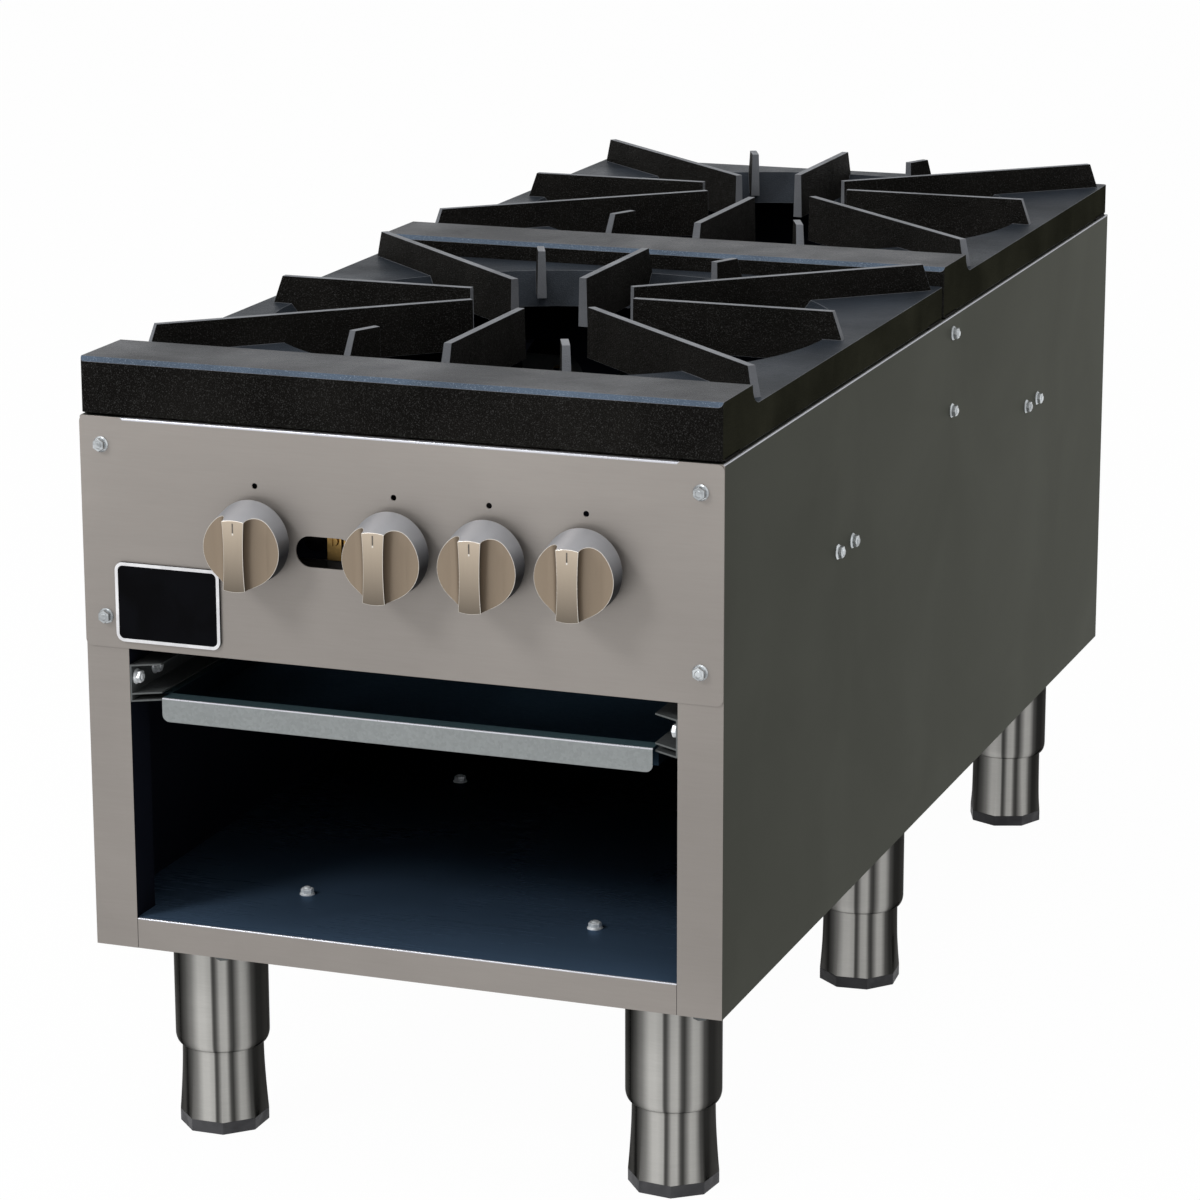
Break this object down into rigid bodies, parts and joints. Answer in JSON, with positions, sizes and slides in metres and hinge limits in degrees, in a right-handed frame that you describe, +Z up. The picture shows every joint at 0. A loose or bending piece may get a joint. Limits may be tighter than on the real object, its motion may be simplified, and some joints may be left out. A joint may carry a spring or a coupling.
{
  "type": "stock pot range",
  "caption": "Floor-standing gas stock pot range: star-shaped cast grates in a row over ring burners, with a drip tray, an open storage shelf and adjustable legs.",
  "frame": {"origin": "middle of the footprint on the floor, halfway between the knobs' faces and the gas inlet's tip", "axes": "+X to the right as seen from the front, +Y from the control panel to the rear, +Z up"},
  "size_m": [0.468, 1.101, 0.571],
  "materials": {
    "front_steel": "brushed stainless",
    "side_steel": "brushed, dark reflection",
    "inner_steel": "bare sheet in shade",
    "galvanized": "galvanized",
    "foot_steel": "brushed tube with a dark end cap",
    "grate_iron": "rough black casting",
    "burner_iron": "rough black casting",
    "zinc": "zinc plated",
    "knob_metal": "satin champagne plating",
    "brass": "machined",
    "enamel": "gloss black with a pale border",
    "black_pipe": "black steel pipe"
  },
  "bodies": {
    "cabinet": {"left_side_panel": "side_steel", "right_side_panel": "side_steel", "rear_panel": "side_steel", "bottom_shelf": "front_steel", "control_panel": "front_steel", "blank_plate": "enamel", "middle_divider": "inner_steel", "front_burner_support": "inner_steel", "rear_burner_support": "inner_steel", "left_tray_channel": "galvanized", "right_tray_channel": "galvanized", "left_leg_rail": "inner_steel", "right_leg_rail": "inner_steel", "leg_sleeves": "front_steel", "leg_nuts": "zinc", "front_outer_burner": "burner_iron", "front_inner_burner": "burner_iron", "rear_outer_burner": "burner_iron", "rear_inner_burner": "burner_iron", "gas_manifold": "black_pipe", "manifold_brackets": "galvanized", "gas_supply_pipe": "black_pipe", "gas_valves": "brass", "orifice_hoods": "brass", "rear_gas_tubes": "galvanized", "rear_hood_bracket": "galvanized", "pilot_valves": "brass", "pilot_tubes": "galvanized", "pilot_burners": "front_steel", "control_panel_bolts": "zinc", "side_panel_bolts": "zinc", "tray_channel_bolts": "zinc", "shelf_bolts": "zinc", "rear_panel_screws": "zinc"},
    "front_outer_control": {"front_outer_knob": "knob_metal", "front_outer_stem": "zinc"},
    "front_outer_air_shutter": {"front_outer_shutter": "galvanized"},
    "front_inner_control": {"front_inner_knob": "knob_metal", "front_inner_stem": "zinc"},
    "front_inner_air_shutter": {"front_inner_shutter": "galvanized"},
    "rear_outer_control": {"rear_outer_knob": "knob_metal", "rear_outer_stem": "zinc"},
    "rear_outer_air_shutter": {"rear_outer_shutter": "galvanized"},
    "rear_inner_control": {"rear_inner_knob": "knob_metal", "rear_inner_stem": "zinc"},
    "rear_inner_air_shutter": {"rear_inner_shutter": "galvanized"},
    "tray": {"drip_tray": "galvanized", "drip_tray_walls": "galvanized", "drip_tray_rim": "galvanized"},
    "front_cooking_grate": {"front_grate": "grate_iron"},
    "rear_cooking_grate": {"rear_grate": "grate_iron"},
    "front_pilot_adjuster": {"front_pilot_screw": "brass"},
    "rear_pilot_adjuster": {"rear_pilot_screw": "brass"},
    "front_left_leg_foot": {"front_left_foot": "foot_steel"},
    "front_right_leg_foot": {"front_right_foot": "foot_steel"},
    "middle_left_leg_foot": {"middle_left_foot": "foot_steel"},
    "middle_right_leg_foot": {"middle_right_foot": "foot_steel"},
    "rear_left_leg_foot": {"rear_left_foot": "foot_steel"},
    "rear_right_leg_foot": {"rear_right_foot": "foot_steel"}
  },
  "joints": [
    {"name": "front_outer_knob_turn", "type": "hinge", "parent": "cabinet", "child": "front_outer_control", "pos_m": [-0.1, -0.5145, 0.4496], "axis": [0, -1, 0], "range_deg": [0, 90]},
    {"name": "front_inner_knob_turn", "type": "hinge", "parent": "cabinet", "child": "front_inner_control", "pos_m": [0, -0.5145, 0.4496], "axis": [0, -1, 0], "range_deg": [0, 90]},
    {"name": "rear_outer_knob_turn", "type": "hinge", "parent": "cabinet", "child": "rear_outer_control", "pos_m": [0.0674, -0.5145, 0.4496], "axis": [0, -1, 0], "range_deg": [0, 90]},
    {"name": "rear_inner_knob_turn", "type": "hinge", "parent": "cabinet", "child": "rear_inner_control", "pos_m": [0.1348, -0.5145, 0.4496], "axis": [0, -1, 0], "range_deg": [0, 90]},
    {"name": "tray_slide", "type": "slide", "parent": "cabinet", "child": "tray", "axis": [0, -1, 0], "range_m": [0, 1]},
    {"name": "front_grate_lift", "type": "slide", "parent": "cabinet", "child": "front_cooking_grate", "axis": [0, 0, 1], "range_m": [0, 0.12]},
    {"name": "rear_grate_lift", "type": "slide", "parent": "cabinet", "child": "rear_cooking_grate", "axis": [0, 0, 1], "range_m": [0, 0.12]},
    {"name": "front_left_foot_extend", "type": "slide", "parent": "cabinet", "child": "front_left_leg_foot", "axis": [0, 0, -1], "range_m": [0, 0.025]},
    {"name": "front_right_foot_extend", "type": "slide", "parent": "cabinet", "child": "front_right_leg_foot", "axis": [0, 0, -1], "range_m": [0, 0.025]},
    {"name": "middle_left_foot_extend", "type": "slide", "parent": "cabinet", "child": "middle_left_leg_foot", "axis": [0, 0, -1], "range_m": [0, 0.025]},
    {"name": "middle_right_foot_extend", "type": "slide", "parent": "cabinet", "child": "middle_right_leg_foot", "axis": [0, 0, -1], "range_m": [0, 0.025]},
    {"name": "rear_left_foot_extend", "type": "slide", "parent": "cabinet", "child": "rear_left_leg_foot", "axis": [0, 0, -1], "range_m": [0, 0.025]},
    {"name": "rear_right_foot_extend", "type": "slide", "parent": "cabinet", "child": "rear_right_leg_foot", "axis": [0, 0, -1], "range_m": [0, 0.025]},
    {"name": "front_outer_shutter_turn", "type": "hinge", "parent": "cabinet", "child": "front_outer_air_shutter", "pos_m": [-0.1, -0.4494, 0.4496], "axis": [0, 1, 0], "range_deg": [0, 45]},
    {"name": "front_inner_shutter_turn", "type": "hinge", "parent": "cabinet", "child": "front_inner_air_shutter", "pos_m": [0, -0.4494, 0.4496], "axis": [0, 1, 0], "range_deg": [0, 45]},
    {"name": "rear_outer_shutter_turn", "type": "hinge", "parent": "cabinet", "child": "rear_outer_air_shutter", "pos_m": [-0.1, 0.06835, 0.4496], "axis": [0, 1, 0], "range_deg": [0, 45]},
    {"name": "rear_inner_shutter_turn", "type": "hinge", "parent": "cabinet", "child": "rear_inner_air_shutter", "pos_m": [0, 0.06835, 0.4496], "axis": [0, 1, 0], "range_deg": [0, 45]},
    {"name": "front_pilot_screw_turn", "type": "hinge", "parent": "cabinet", "child": "front_pilot_adjuster", "pos_m": [-0.04, -0.4945, 0.4476], "axis": [0, 1, 0], "range_deg": [-180, 180]},
    {"name": "rear_pilot_screw_turn", "type": "hinge", "parent": "cabinet", "child": "rear_pilot_adjuster", "pos_m": [-0.052, -0.4945, 0.4476], "axis": [0, 1, 0], "range_deg": [-180, 180]}
  ]
}
